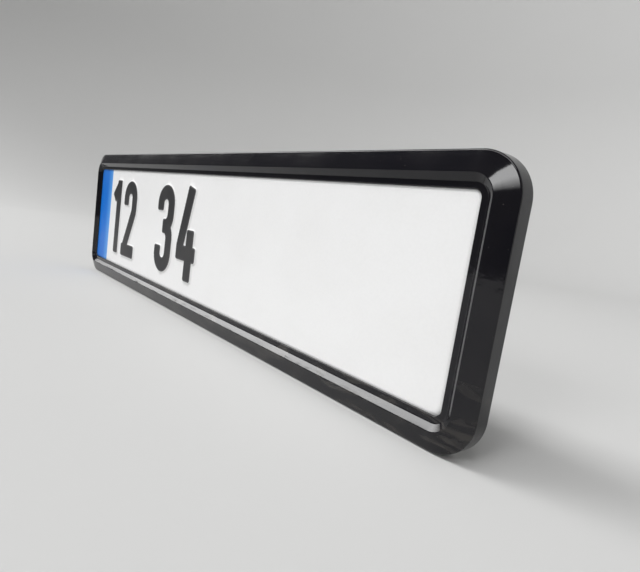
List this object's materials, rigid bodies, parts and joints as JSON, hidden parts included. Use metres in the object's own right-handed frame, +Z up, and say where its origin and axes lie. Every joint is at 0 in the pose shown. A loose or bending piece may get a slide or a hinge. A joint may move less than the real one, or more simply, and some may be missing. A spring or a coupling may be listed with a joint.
{
  "type": "number plate holder",
  "caption": "Gloss black moulded holder with a broad sloping rim and a narrow lip, holding a pressed number plate, with slotted fixing holes in its back panel.",
  "frame": {"origin": "centre of the four fixing slots, on the flat back of the panel that lies on the car", "axes": "+X along the plate, +Z up, and the front faces -Y, so +Y points into the car"},
  "size_m": [0.554, 0.0133, 0.144],
  "materials": {
    "gloss_black_plastic": "gloss",
    "plate_sheet": "satin"
  },
  "bodies": {
    "root": {"plate_holder": "gloss_black_plastic", "number_plate": "plate_sheet"}
  },
  "joints": []
}
